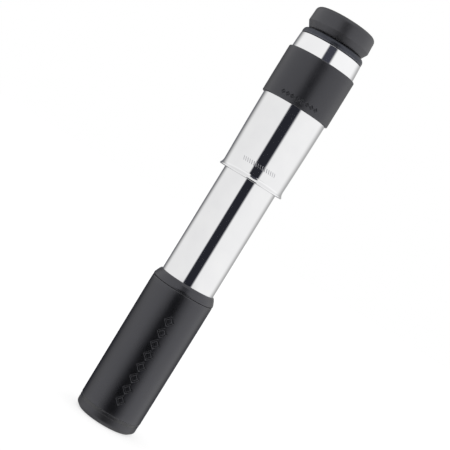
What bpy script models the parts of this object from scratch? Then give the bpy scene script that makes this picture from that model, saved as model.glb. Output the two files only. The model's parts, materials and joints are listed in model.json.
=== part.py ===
"""A telescoping mini pump for bicycle tyres, standing on its grip and drawn out.

The axis is +Z, and the origin is the centre of the flat foot under the grip. The grip holds a polished plunger tube
with the piston on its top. The polished cylinder with the flared mouth slides over both. Its head has a check valve
and a screw-down valve chuck, under a rubber cap. Sizes are in millimetres here, and mm() turns them into metres.
"""

import math

import bmesh
import bpy
from mathutils import Matrix, Vector

# ---- Driving dimensions, in millimetres -------------------------------------------------------------------------

FIT = 0.15  # radial gap between two pieces that sit in one another
SEAM = 0.3  # gap between two faces that meet

ROUND = 36  # sides of a large turned piece
ROUND_SMALL = 24  # sides of a valve or chuck piece

# The grip and foot, from the ground up.
FOOT_TOP = 4.9
TRIM_TOP = 6.6
GRIP_TOP = 75.9
SHOULDER_TOP = 80.8
FOOT_FACE_R = 14.0
FOOT_R = 16.68
TRIM_R = 16.78
GRIP_BOTTOM_R = 16.92
GRIP_TOP_R = 17.18

# The plunger tube and its plugs.
TUBE_R = 14.7
TUBE_BORE_R = 13.8
TUBE_BOTTOM = 2.6
TUBE_TOP = 147.9
FOOT_PLUG_TOP = 11.3
STUD_R = 4.0
STUD_TOP = 7.0
TOP_PLUG_BOTTOM = 134.5
TOP_PLUG_TOP = 139.5

# The piston. Its recess takes the head's boss when the pump is shut.
PISTON_R = 15.8
PISTON_TOP = 153.2
PISTON_FLANGE = 148.2
PISTON_BOTTOM = 139.8
RECESS_R = 7.5
RECESS_FLOOR = 142.0
SEAL_SECTION = 2.0
SEAL_GROOVE_BOTTOM = 149.4
SEAL_GROOVE_TOP = 152.2
SEAL_ROOT_R = 13.7
SCREW_R = 1.9
SCREW_HEAD_R = 3.6
SCREW_HEAD_TOP = 144.4
SCREW_BOTTOM = 133.0

# The cylinder. Its side bows gently outwards, and its mouth flares to a rolled lip.
BORE_R = 16.0
MOUTH = 140.5
WAIST = 144.5
BELLY = 200.0
CYLINDER_TOP = 217.0
WAIST_R = 17.03
BELLY_R = 17.75
CYLINDER_TOP_R = 17.18
LIP_R = 17.85
LIP_HEIGHT = 0.5
FLARE_WALL = 0.8
GUIDE_BOTTOM = 142.9
GUIDE_TOP = 145.6
STOP_TOP = 146.9
COLLAR_BOTTOM = 182.6
COLLAR_TOP = 208.6
COLLAR_R = 18.75

# The head: a disc in the cylinder's top, with a boss below for the check valve and a nozzle above for the chuck.
HEAD_FACE = 212.4
HEAD_DISC_TOP = 215.4
HEAD_GROOVE_BOTTOM = 213.1
HEAD_GROOVE_TOP = 214.7
HEAD_GROOVE_R = 14.55
HEAD_SEAL_SECTION = 1.2
BOSS_R = 6.8
BOSS_BOTTOM = 204.4
NOZZLE_R = 6.3
NOZZLE_TOP = 223.6
HEAD_RING_TOP = 220.6
HEAD_RING_R = 17.12
HEAD_RING_ROUND = 2.1
WELL_R = 11.6

# The check valve in the boss.
SEAT_R = 1.5
SEAT_TOP = 205.5
CHAMBER_R = 3.4
BALL_R = 2.2
SPRING_COIL_R = 1.5
SPRING_WIRE_R = 0.2
SPRING_TURNS = 2.5
PLATE_BOTTOM = 211.8
PLATE_THICKNESS = 0.9
PIN_R = 0.9
PIN_TOP = 214.6

# The chuck in the nozzle.
POCKET_R = 4.7
POCKET_BOTTOM = 211.5
VALVE_BORE_R = 3.4
GASKET_BOTTOM = 213.0
GASKET_TOP = 222.2
WASHER_TOP = 223.2
NUT_BOTTOM = 217.0
NUT_CEILING = 225.0
NUT_TOP = 226.8
NUT_R = 9.2
NUT_FLUTES = 18
FLUTE_DEPTH = 0.5

# The dust cap. It plugs into the head's well and is hollow, to go over the chuck's nut.
CAP_BOTTOM = 220.9
CAP_CHAMFER_TOP = 224.25
CAP_TOP = 233.4
CAP_R = 17.1
CAP_SHOULDER_R = 16.65
CAP_NECK_R = 15.1
CAP_PLUG_BOTTOM = 216.0
CAP_HOLLOW_R = 9.9
CAP_HOLLOW_TOP = 229.4


def mm(value):
    """Millimetres as Blender's metres."""
    return value * 0.001


# ---- Scene ------------------------------------------------------------------------------------------------------


def clear_scene():
    for obj in list(bpy.data.objects):
        bpy.data.objects.remove(obj, do_unlink=True)


def new_collection(name):
    collection = bpy.data.collections.new(name)
    bpy.context.scene.collection.children.link(collection)
    return collection


def new_material(name, colour, roughness, metallic):
    material = bpy.data.materials.new(name)
    material.use_nodes = True
    shader = material.node_tree.nodes["Principled BSDF"]
    shader.inputs["Base Color"].default_value = (*colour, 1.0)
    shader.inputs["Roughness"].default_value = roughness
    shader.inputs["Metallic"].default_value = metallic
    material.diffuse_color = (*colour, 1.0)
    return material


clear_scene()
PUMP = new_collection("mini_pump")
CUTTERS = new_collection("cutters")

POLISHED = new_material("polished_aluminium", (0.86, 0.86, 0.87), 0.08, 1.0)
SATIN = new_material("satin_aluminium", (0.62, 0.63, 0.65), 0.35, 1.0)
ANODISED = new_material("black_anodised", (0.035, 0.037, 0.045), 0.35, 0.9)
BRASS = new_material("brass", (0.72, 0.55, 0.28), 0.3, 1.0)
STEEL = new_material("steel", (0.55, 0.56, 0.58), 0.25, 1.0)
GRIP_RUBBER = new_material("grip_rubber", (0.03, 0.03, 0.033), 0.5, 0.0)
CAP_RUBBER = new_material("cap_rubber", (0.045, 0.045, 0.045), 0.65, 0.0)
SEAL_RUBBER = new_material("seal_rubber", (0.02, 0.02, 0.02), 0.4, 0.0)
BLACK_PLASTIC = new_material("black_plastic", (0.025, 0.025, 0.028), 0.3, 0.0)


# ---- Tools ------------------------------------------------------------------------------------------------------


def link(obj, material, collection=None):
    """Moves an object into the pump's collection, or another, and gives it its material."""
    for old in list(obj.users_collection):
        old.objects.unlink(obj)
    (collection or PUMP).objects.link(obj)
    if material:
        obj.data.materials.clear()
        obj.data.materials.append(material)
    return obj


def fillet(before, corner, after, radius, steps):
    """The points of an arc of that radius that rounds a corner of a profile."""
    towards_before = (before - corner).normalized()
    towards_after = (after - corner).normalized()
    half = towards_before.angle(towards_after) / 2
    centre_way = (towards_before + towards_after).normalized()
    centre = corner + centre_way * (radius / math.sin(half))
    start = corner + towards_before * (radius / math.tan(half)) - centre
    turn = towards_before.x * towards_after.y - towards_before.y * towards_after.x
    sweep = math.copysign(math.pi - 2 * half, -turn)
    return [centre + Matrix.Rotation(sweep * i / steps, 2) @ start for i in range(steps + 1)]


def rounded(corners, closed, steps):
    """A profile from (radius, height) corners. A corner with a third number is rounded to that radius."""
    points = []
    count = len(corners)
    for i, corner in enumerate(corners):
        at = Vector(corner[:2])
        inner = closed or 0 < i < count - 1
        if len(corner) == 3 and inner:
            before = Vector(corners[i - 1][:2])
            after = Vector(corners[(i + 1) % count][:2])
            points += fillet(before, at, after, corner[2], steps)
        else:
            points.append(at)
    return points


def turned(name, corners, material, sides=ROUND, steps=2, collection=None):
    """A turned piece. Its profile runs down the outer side and then up the inner side, or ends on the axis."""
    on_axis = corners[0][0] == 0 and corners[-1][0] == 0
    points = rounded(corners, not on_axis, steps)
    edges = [(i, i + 1) for i in range(len(points) - 1)]
    if not on_axis:
        edges.append((len(points) - 1, 0))
    mesh = bpy.data.meshes.new(name)
    mesh.from_pydata([(mm(p.x), 0, mm(p.y)) for p in points], edges, [])
    obj = link(bpy.data.objects.new(name, mesh), material, collection)
    screw = obj.modifiers.new("turn", "SCREW")
    screw.steps = screw.render_steps = sides
    screw.use_merge_vertices = True
    screw.merge_threshold = 0.00001
    screw.use_smooth_shade = True
    return obj


def ring(name, outer, inner, bottom, top, material, sides=ROUND, edge=0.0):
    """A plain turned ring, with its outer edges rounded where edge is given."""
    outer_top = (outer, top, edge) if edge else (outer, top)
    outer_bottom = (outer, bottom, edge) if edge else (outer, bottom)
    return turned(name, [outer_top, outer_bottom, (inner, bottom), (inner, top)], material, sides)


def o_ring(name, outer, section, bottom):
    """A rubber O-ring, from its outer radius and the thickness of its section."""
    bpy.ops.mesh.primitive_torus_add(
        major_radius=mm(outer - section / 2),
        minor_radius=mm(section / 2),
        major_segments=ROUND,
        minor_segments=8,
        location=(0, 0, mm(bottom + section / 2)),
    )
    obj = bpy.context.object
    obj.name = obj.data.name = name
    obj.data.shade_smooth()
    return link(obj, SEAL_RUBBER)


def post_cutter(name, radius, bottom, top, place=(0, 0), sides=8):
    """A hidden cutter with flat sides along Z, at place from the axis."""
    bpy.ops.mesh.primitive_cylinder_add(
        vertices=sides,
        radius=mm(radius),
        depth=mm(top - bottom),
        location=(mm(place[0]), mm(place[1]), mm((bottom + top) / 2)),
    )
    obj = bpy.context.object
    obj.name = name
    return hidden(link(obj, None, CUTTERS))


def hidden(cutter):
    cutter.hide_render = True
    cutter.display_type = "WIRE"
    return cutter


def cut(obj, cutter):
    boolean = obj.modifiers.new("cut_" + cutter.name, "BOOLEAN")
    boolean.operation = "DIFFERENCE"
    boolean.object = cutter
    return obj


def circle_of(count, radius, start=0.0):
    """Points spaced evenly on a circle about the axis."""
    turns = [start + 2 * math.pi * i / count for i in range(count)]
    return [(radius * math.cos(a), radius * math.sin(a)) for a in turns]


# ---- Grip and plunger -------------------------------------------------------------------------------------------


def foot_cap():
    """The rubber foot. Its stud snaps into the foot plug, and its rim goes round the end of the tube."""
    rim_inner = TUBE_R + FIT
    return turned(
        "foot_cap",
        [
            (0, STUD_TOP),
            (STUD_R - FIT, STUD_TOP, 0.6),
            (STUD_R - FIT, TUBE_BOTTOM - SEAM),
            (rim_inner, TUBE_BOTTOM - SEAM),
            (rim_inner, FOOT_TOP),
            (FOOT_R, FOOT_TOP, 0.2),
            (FOOT_R, 1.6, 1.3),
            (FOOT_FACE_R, 0, 1.2),
            (0, 0),
        ],
        CAP_RUBBER,
    )


def trim_ring():
    """The glossy ring between the grip and the foot."""
    return ring("trim_ring", TRIM_R, TUBE_R + FIT, FOOT_TOP + SEAM, TRIM_TOP, BLACK_PLASTIC, edge=0.2)


def grip_sleeve():
    """The rubber sleeve that the hand holds. It narrows a little towards the foot."""
    inner = TUBE_R + FIT
    bottom = TRIM_TOP + SEAM
    return turned(
        "grip_sleeve",
        [(GRIP_TOP_R, GRIP_TOP, 0.4), (GRIP_BOTTOM_R, bottom, 0.4), (inner, bottom), (inner, GRIP_TOP)],
        GRIP_RUBBER,
    )


def grip_shoulder():
    """The round-shouldered ring on top of the grip, just under the mouth when the pump is shut."""
    inner = TUBE_R + FIT
    bottom = GRIP_TOP + SEAM
    return turned(
        "grip_shoulder",
        [
            (15.4, SHOULDER_TOP, 0.2),
            (16.15, 79.6, 0.8),
            (GRIP_TOP_R - 0.02, 77.3, 1.2),
            (GRIP_TOP_R - 0.02, bottom, 0.3),
            (inner, bottom),
            (inner, SHOULDER_TOP),
        ],
        GRIP_RUBBER,
    )


def plunger_tube():
    """The polished tube that joins the grip to the piston."""
    return ring("plunger_tube", TUBE_R, TUBE_BORE_R, TUBE_BOTTOM, TUBE_TOP, POLISHED, edge=0.3)


def foot_plug():
    """The plug in the foot of the tube, with a blind hole for the foot cap's stud."""
    outer = TUBE_BORE_R - FIT
    return turned(
        "foot_plug",
        [
            (0, FOOT_PLUG_TOP),
            (outer, FOOT_PLUG_TOP, 0.5),
            (outer, TUBE_BOTTOM),
            (STUD_R, TUBE_BOTTOM),
            (STUD_R, STUD_TOP + 0.5),
            (0, STUD_TOP + 0.5),
        ],
        BLACK_PLASTIC,
        ROUND_SMALL,
    )


def plunger_plug():
    """The plug pressed into the top of the tube. The piston's screw goes into its tapped hole."""
    outer = TUBE_BORE_R - FIT
    hole = SCREW_R + FIT
    return ring("plunger_plug", outer, hole, TOP_PLUG_BOTTOM, TOP_PLUG_TOP, SATIN, ROUND_SMALL)


def piston():
    """The piston. Its wide groove lets the seal float, and four notches in the lip above let air past it."""
    spigot = TUBE_BORE_R - FIT
    body = turned(
        "piston",
        [
            (PISTON_R, PISTON_TOP, 0.3),
            (PISTON_R, SEAL_GROOVE_TOP),
            (SEAL_ROOT_R, SEAL_GROOVE_TOP),
            (SEAL_ROOT_R, SEAL_GROOVE_BOTTOM),
            (PISTON_R, SEAL_GROOVE_BOTTOM),
            (PISTON_R, PISTON_FLANGE),
            (spigot, PISTON_FLANGE),
            (spigot, PISTON_BOTTOM, 0.4),
            (SCREW_R + FIT, PISTON_BOTTOM),
            (SCREW_R + FIT, RECESS_FLOOR),
            (RECESS_R, RECESS_FLOOR),
            (RECESS_R, PISTON_TOP, 0.4),
        ],
        BLACK_PLASTIC,
        steps=1,
    )
    for i, place in enumerate(circle_of(4, PISTON_R, math.radians(47))):
        cut(body, post_cutter(f"notch_{i}", 0.8, SEAL_GROOVE_TOP - 1, PISTON_TOP + 1, place))
    return body


def piston_seal():
    """The floating O-ring. It seals on the groove's floor on the push, and lifts on the pull."""
    return o_ring("piston_seal", BORE_R - 0.12, SEAL_SECTION, SEAL_GROOVE_BOTTOM + 0.06)


def piston_screw():
    """The socket-head screw that holds the piston to the tube's plug."""
    screw = turned(
        "piston_screw",
        [
            (0, SCREW_HEAD_TOP),
            (SCREW_HEAD_R, SCREW_HEAD_TOP, 0.3),
            (SCREW_HEAD_R, RECESS_FLOOR + 0.1),
            (SCREW_R, RECESS_FLOOR + 0.1),
            (SCREW_R, SCREW_BOTTOM, 0.4),
            (0, SCREW_BOTTOM),
        ],
        STEEL,
        ROUND_SMALL,
        steps=1,
    )
    return cut(screw, post_cutter("hex_socket", 1.7, SCREW_HEAD_TOP - 1.4, SCREW_HEAD_TOP + 1, sides=6))


# ---- Cylinder ---------------------------------------------------------------------------------------------------


def cylinder_radius(height):
    """The cylinder's outer radius above the flare: two parabolas that meet level at the belly."""
    if height < BELLY:
        return BELLY_R - (BELLY_R - WAIST_R) * ((BELLY - height) / (BELLY - WAIST)) ** 2
    return BELLY_R - (BELLY_R - CYLINDER_TOP_R) * ((height - BELLY) / (CYLINDER_TOP - BELLY)) ** 2


def flare(offset):
    """The flare's side from the waist to the lip, widening with the cube of the depth, moved inwards by offset."""
    steps = 4
    drop = WAIST - MOUTH - LIP_HEIGHT
    side = []
    for i in range(1, steps + 1):
        part = i / steps
        side.append((WAIST_R + (LIP_R - WAIST_R) * part**3 - offset, WAIST - drop * part))
    return side


def cylinder_tube():
    """The polished cylinder, with a straight bore that opens out in the flare."""
    heights = [CYLINDER_TOP, 209, BELLY, 188, 176, 165, 154, WAIST]
    outside = [(cylinder_radius(h), h) for h in heights] + flare(0)
    lip = [(LIP_R - 0.25, MOUTH), (LIP_R - FLARE_WALL + 0.2, MOUTH)]
    inside = flare(FLARE_WALL)[::-1] + [(BORE_R, WAIST), (BORE_R, CYLINDER_TOP)]
    return turned("cylinder_tube", outside + lip + inside, POLISHED)


def mouth_guide():
    """The bush in the cylinder's mouth that slides on the plunger tube. Four slots let air in behind the piston."""
    guide = ring("mouth_guide", BORE_R - FIT, TUBE_R + FIT, GUIDE_BOTTOM, GUIDE_TOP, BLACK_PLASTIC)
    for i, place in enumerate(circle_of(4, TUBE_R + 0.1, math.radians(47))):
        cut(guide, post_cutter(f"slot_{i}", 0.7, GUIDE_BOTTOM - 1, GUIDE_TOP + 1, place))
    return guide


def stop_ring():
    """The rubber ring above the guide, which the piston meets when the pump is drawn right out."""
    return ring("stop_ring", BORE_R - 0.3, TUBE_R + 0.3, GUIDE_TOP + 0.2, STOP_TOP, SEAL_RUBBER)


def handle_collar():
    """The rubber band round the cylinder, where the other hand holds."""
    return ring("handle_collar", COLLAR_R, BELLY_R + FIT, COLLAR_BOTTOM, COLLAR_TOP, GRIP_RUBBER, edge=0.5)


def head_body():
    """The head. Air goes through the seat in its boss, past the ball, and up to the valve in its nozzle."""
    disc = BORE_R - 0.2
    return turned(
        "head_body",
        [
            (NOZZLE_R, NOZZLE_TOP, 0.3),
            (NOZZLE_R, HEAD_DISC_TOP),
            (disc, HEAD_DISC_TOP),
            (disc, HEAD_GROOVE_TOP),
            (HEAD_GROOVE_R, HEAD_GROOVE_TOP),
            (HEAD_GROOVE_R, HEAD_GROOVE_BOTTOM),
            (disc, HEAD_GROOVE_BOTTOM),
            (disc, HEAD_FACE),
            (BOSS_R, HEAD_FACE),
            (BOSS_R, BOSS_BOTTOM, 0.5),
            (SEAT_R, BOSS_BOTTOM),
            (SEAT_R, SEAT_TOP),
            (CHAMBER_R, SEAT_TOP),
            (CHAMBER_R, POCKET_BOTTOM),
            (POCKET_R, POCKET_BOTTOM),
            (POCKET_R, NOZZLE_TOP),
        ],
        SATIN,
        steps=1,
    )


def head_seal():
    """The O-ring round the head."""
    return o_ring("head_seal", BORE_R - 0.08, HEAD_SEAL_SECTION, HEAD_GROOVE_BOTTOM + 0.2)


def head_ring():
    """The black ring that closes the cylinder's top. The dust cap plugs into its well."""
    skirt = BORE_R - FIT
    seat = CYLINDER_TOP + SEAM
    bottom = HEAD_DISC_TOP + SEAM
    return turned(
        "head_ring",
        [
            (HEAD_RING_R, HEAD_RING_TOP, HEAD_RING_ROUND),
            (HEAD_RING_R, seat),
            (skirt, seat),
            (skirt, bottom),
            (WELL_R, bottom),
            (WELL_R, HEAD_RING_TOP, 0.4),
        ],
        ANODISED,
        steps=3,
    )


# ---- Check valve ------------------------------------------------------------------------------------------------


def ball_height():
    """The height of the ball's centre, just clear of the edge of its seat."""
    return SEAT_TOP + math.sqrt(BALL_R**2 - SEAT_R**2) + 0.12


def valve_ball():
    """The steel ball that closes the seat."""
    bpy.ops.mesh.primitive_uv_sphere_add(
        segments=16, ring_count=10, radius=mm(BALL_R), location=(0, 0, mm(ball_height()))
    )
    obj = bpy.context.object
    obj.name = obj.data.name = "valve_ball"
    obj.data.shade_smooth()
    return link(obj, STEEL)


def valve_spring():
    """The coil spring that holds the ball on its seat."""
    bottom = ball_height() + math.sqrt(BALL_R**2 - SPRING_COIL_R**2) + SPRING_WIRE_R + 0.15
    top = PLATE_BOTTOM - SPRING_WIRE_R - 0.1
    count = int(SPRING_TURNS * 10)
    curve = bpy.data.curves.new("valve_spring", "CURVE")
    curve.dimensions = "3D"
    curve.bevel_depth = mm(SPRING_WIRE_R)
    curve.bevel_resolution = 2
    curve.use_fill_caps = True
    spline = curve.splines.new("POLY")
    spline.points.add(count)
    for i, point in enumerate(spline.points):
        angle = 2 * math.pi * SPRING_TURNS * i / count
        x = SPRING_COIL_R * math.cos(angle)
        y = SPRING_COIL_R * math.sin(angle)
        z = bottom + (top - bottom) * i / count
        point.co = (mm(x), mm(y), mm(z), 1)
    return link(bpy.data.objects.new("valve_spring", curve), STEEL)


def valve_plate():
    """The drilled plate above the spring. Its pin opens the core of a tyre's valve."""
    outer = POCKET_R - FIT
    top = PLATE_BOTTOM + PLATE_THICKNESS
    plate = turned(
        "valve_plate",
        [
            (0, PIN_TOP),
            (PIN_R, PIN_TOP, 0.3),
            (PIN_R, top),
            (outer, top),
            (outer, PLATE_BOTTOM),
            (0, PLATE_BOTTOM),
        ],
        BRASS,
        ROUND_SMALL,
        steps=1,
    )
    for i, place in enumerate(circle_of(4, 2.7, math.radians(47))):
        cut(plate, post_cutter(f"port_{i}", 0.6, PLATE_BOTTOM - 1, top + 1, place))
    return plate


# ---- Chuck ------------------------------------------------------------------------------------------------------


def chuck_gasket():
    """The rubber gasket that closes round the tyre's valve when the nut is done up."""
    outer = POCKET_R - FIT
    return ring("chuck_gasket", outer, VALVE_BORE_R, GASKET_BOTTOM, GASKET_TOP, SEAL_RUBBER, ROUND_SMALL, 0.3)


def thrust_washer():
    """The washer between the turning nut and the gasket."""
    outer = POCKET_R - FIT
    inner = VALVE_BORE_R + 0.1
    return ring("thrust_washer", outer, inner, GASKET_TOP + 0.2, WASHER_TOP, STEEL, ROUND_SMALL)


def fluted_bar(name, radius, bottom, top, flutes, depth):
    """A mesh bar with shallow flutes all round: a flat outline whose radius follows a cosine, extruded."""
    count = flutes * 4
    curve = bpy.data.curves.new(name, "CURVE")
    curve.dimensions = "2D"
    curve.fill_mode = "BOTH"
    curve.extrude = mm((top - bottom) / 2)
    spline = curve.splines.new("POLY")
    spline.points.add(count - 1)
    spline.use_cyclic_u = True
    for i, point in enumerate(spline.points):
        angle = 2 * math.pi * i / count
        here = radius - depth * 0.5 * (1 - math.cos(angle * flutes))
        point.co = (mm(here * math.cos(angle)), mm(here * math.sin(angle)), 0, 1)
    outline = link(bpy.data.objects.new(name + "_outline", curve), None)
    outline.location.z = mm((bottom + top) / 2)
    bpy.context.view_layer.update()
    graph = bpy.context.evaluated_depsgraph_get()
    mesh = bpy.data.meshes.new_from_object(outline.evaluated_get(graph))
    work = bmesh.new()
    work.from_mesh(mesh)
    bmesh.ops.remove_doubles(work, verts=work.verts, dist=0.000001)
    work.to_mesh(mesh)
    work.free()
    bar = bpy.data.objects.new(name, mesh)
    bar.matrix_world = outline.matrix_world
    bpy.data.objects.remove(outline)
    return bar


def chuck_nut():
    """The fluted nut. A collar inside it pushes on the washer as it is screwed down the nozzle."""
    nut = link(fluted_bar("chuck_nut", NUT_R, NUT_BOTTOM, NUT_TOP, NUT_FLUTES, FLUTE_DEPTH), SATIN)
    collar_bottom = WASHER_TOP + FIT
    collar_outer = POCKET_R - 0.2
    bore = VALVE_BORE_R + 0.1
    inside = turned(
        "nut_inside",
        [
            (0, NUT_TOP + 1),
            (bore + 1.0, NUT_TOP + 1),
            (bore + 1.0, NUT_TOP),
            (bore, NUT_TOP - 1.0),
            (bore, collar_bottom),
            (collar_outer, collar_bottom),
            (collar_outer, NUT_CEILING),
            (NOZZLE_R + FIT, NUT_CEILING),
            (NOZZLE_R + FIT, NUT_BOTTOM - 1),
            (0, NUT_BOTTOM - 1),
        ],
        None,
        ROUND_SMALL,
        collection=CUTTERS,
    )
    return cut(nut, hidden(inside))


# ---- Dust cap ---------------------------------------------------------------------------------------------------


def dust_cap():
    """The rubber cap, which pulls off the head."""
    plug = WELL_R - FIT
    return turned(
        "dust_cap",
        [
            (0, CAP_TOP),
            (9.0, CAP_TOP - 0.3),
            (CAP_SHOULDER_R, CAP_TOP - 1.0, 2.0),
            (CAP_R, CAP_CHAMFER_TOP, 0.5),
            (CAP_NECK_R, CAP_BOTTOM, 0.3),
            (plug, CAP_BOTTOM),
            (plug, CAP_PLUG_BOTTOM, 0.4),
            (CAP_HOLLOW_R, CAP_PLUG_BOTTOM),
            (CAP_HOLLOW_R, CAP_HOLLOW_TOP),
            (0, CAP_HOLLOW_TOP),
        ],
        CAP_RUBBER,
    )


# ---- Build ------------------------------------------------------------------------------------------------------

PIECES = [
    foot_cap,
    trim_ring,
    grip_sleeve,
    grip_shoulder,
    plunger_tube,
    foot_plug,
    plunger_plug,
    piston,
    piston_seal,
    piston_screw,
    cylinder_tube,
    mouth_guide,
    stop_ring,
    handle_collar,
    head_body,
    head_seal,
    head_ring,
    valve_ball,
    valve_spring,
    valve_plate,
    chuck_gasket,
    thrust_washer,
    chuck_nut,
    dust_cap,
]

for make_piece in PIECES:
    make_piece()
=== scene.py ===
# %% [markdown]
# # A telescoping mini pump
#
# This lesson dresses a small bicycle pump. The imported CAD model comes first, as a fixed frame: it says
# where each piece sits and which body it moves with. Nearly every piece of a pump is turned on a lathe or
# moulded round, so one idea makes almost all of it: an outline of (radius, height) points, carried once
# round the axis.

# %% Load the frame
import functools
import json
import math

import bpy
import numpy as np
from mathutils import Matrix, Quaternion, Vector


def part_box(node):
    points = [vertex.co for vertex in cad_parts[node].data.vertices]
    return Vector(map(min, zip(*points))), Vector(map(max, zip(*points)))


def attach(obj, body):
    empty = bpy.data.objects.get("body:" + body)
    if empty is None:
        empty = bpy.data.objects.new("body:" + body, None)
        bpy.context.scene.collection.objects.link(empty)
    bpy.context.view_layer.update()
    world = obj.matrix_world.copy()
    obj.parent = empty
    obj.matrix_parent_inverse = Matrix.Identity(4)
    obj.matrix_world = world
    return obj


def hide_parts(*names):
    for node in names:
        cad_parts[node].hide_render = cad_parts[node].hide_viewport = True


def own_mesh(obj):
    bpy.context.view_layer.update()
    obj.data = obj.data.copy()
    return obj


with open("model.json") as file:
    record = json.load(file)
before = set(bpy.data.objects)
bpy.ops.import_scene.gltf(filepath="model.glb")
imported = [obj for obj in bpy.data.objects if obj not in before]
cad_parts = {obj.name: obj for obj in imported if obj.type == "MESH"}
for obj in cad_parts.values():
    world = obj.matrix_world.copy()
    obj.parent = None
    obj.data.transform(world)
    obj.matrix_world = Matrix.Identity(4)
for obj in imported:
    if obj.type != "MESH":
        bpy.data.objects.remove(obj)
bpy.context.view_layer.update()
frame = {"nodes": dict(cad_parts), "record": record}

# %% [markdown]
# ## Reading the frame
#
# Blender works in metres, and a pump's details are tenths of a millimetre, so outlines are written in
# millimetres and scaled once, when the mesh is made. The record says which material slot each node has, and
# which body it rides on. Taking the body from there keeps every new piece in step with the CAD.

# %% Where each node is
MM = 0.001
BODY_OF = {node: body for body, members in frame["record"]["behaviour"]["bodies"].items() for node in members}


def reach(node):
    """A node's lowest height, highest height and largest radius, in millimetres."""
    low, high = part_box(node)
    return low.z / MM, high.z / MM, high.x / MM


TUBE_LOW, TUBE_TOP, TUBE_R = reach("plunger_tube")
MOUTH, CYLINDER_TOP, LIP_R = reach("cylinder_tube")
FIT = 0.15  # the gap all round a piece that sits in another
BORE_R = reach("piston")[2] + 0.2
print(f"plunger radius {TUBE_R:.2f} mm, mouth at {MOUTH:.1f} mm, cylinder top at {CYLINDER_TOP:.1f} mm")

# %% [markdown]
# ## Outlines with real corners
#
# No made thing has a perfectly sharp corner: a rounded one catches a thin line of light, and that line is
# most of what makes a render look real. A Bevel modifier could round the corners of the finished mesh, but
# each corner here needs a radius of its own, so it is rounded in the outline, by an arc that touches both
# its sides. The outline is then cut into short steps, with one very short step at each end of a straight
# run, so that the smooth shading of a corner doesn't leak along the side next to it.

# %% Rounded outlines
SUPPORT = 0.1  # length of the short step at each end of a straight run


def corner_arc(before, corner, after, radius, steps=7):
    """The arc that rounds a corner. It touches both sides at radius / tan(half the corner's angle) from the
    corner, and its centre is on the line that halves the corner, at radius / sin(half the angle). Points
    between its two ends come from turning evenly from one to the other (the slerp formula)."""
    back = (before - corner) / np.linalg.norm(before - corner)
    on = (after - corner) / np.linalg.norm(after - corner)
    half = math.acos(np.clip(back @ on, -1, 1)) / 2
    centre = corner + (back + on) / np.linalg.norm(back + on) * radius / math.sin(half)
    start = corner + back * radius / math.tan(half) - centre
    end = corner + on * radius / math.tan(half) - centre
    sweep = math.pi - 2 * half
    share = np.linspace(0, 1, steps + 1)[:, None]
    return centre + (np.sin((1 - share) * sweep) * start + np.sin(share * sweep) * end) / math.sin(sweep)


def straight_run(start, end, longest):
    """The points from start up to, but without, end, no further apart than longest."""
    length = np.linalg.norm(end - start)
    if length < 4 * SUPPORT:
        return start[None]
    steps = 2 + int(length / longest)
    share = np.concatenate([[0], np.linspace(SUPPORT, length - SUPPORT, steps) / length])
    return start + share[:, None] * (end - start)


def outline(corners, loop=True, longest=2.5):
    """An outline's points from (radius, height) corners. A third number rounds its corner to that radius."""
    at = [np.array(corner[:2], float) for corner in corners]
    rounded = []
    for i, corner in enumerate(corners):
        if len(corner) == 3:
            rounded.append(corner_arc(at[i - 1], at[i], at[(i + 1) % len(at)], corner[2]))
        else:
            rounded.append(at[i][None])
    points = np.concatenate(rounded)
    ends = np.roll(points, -1, axis=0)
    runs = [straight_run(a, b, longest) for a, b in zip(points, ends)]
    if not loop:
        runs[-1] = points[-1][None]
    return np.concatenate(runs)


def along(heights, radius):
    """Corners that follow a curve: one at each height, with radius(height) worked out for the whole array."""
    heights = np.asarray(heights, float)
    return list(zip(radius(heights), heights))


sample = corner_arc(np.array([0., 1.]), np.array([0., 0.]), np.array([1., 0.]), 0.3)
print("A 1 mm corner rounded to 0.3 mm starts and ends at", np.round(sample[[0, -1]], 2).tolist())

# %% [markdown]
# ## From a grid of points to a closed mesh
#
# Every surface here is a grid: rows along the outline, columns round the axis. A Screw modifier could turn
# an outline too, but a grid lets a formula move any point of it. Joining each point to its neighbours gives
# four-sided faces. Where a row shrinks to one point on the axis, those faces become triangles. A mesh is
# inside out if the volume that its faces enclose comes out negative, so that is measured, and the faces are
# turned if needed.

# %% The mesh maker
PIECES = {}


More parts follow.
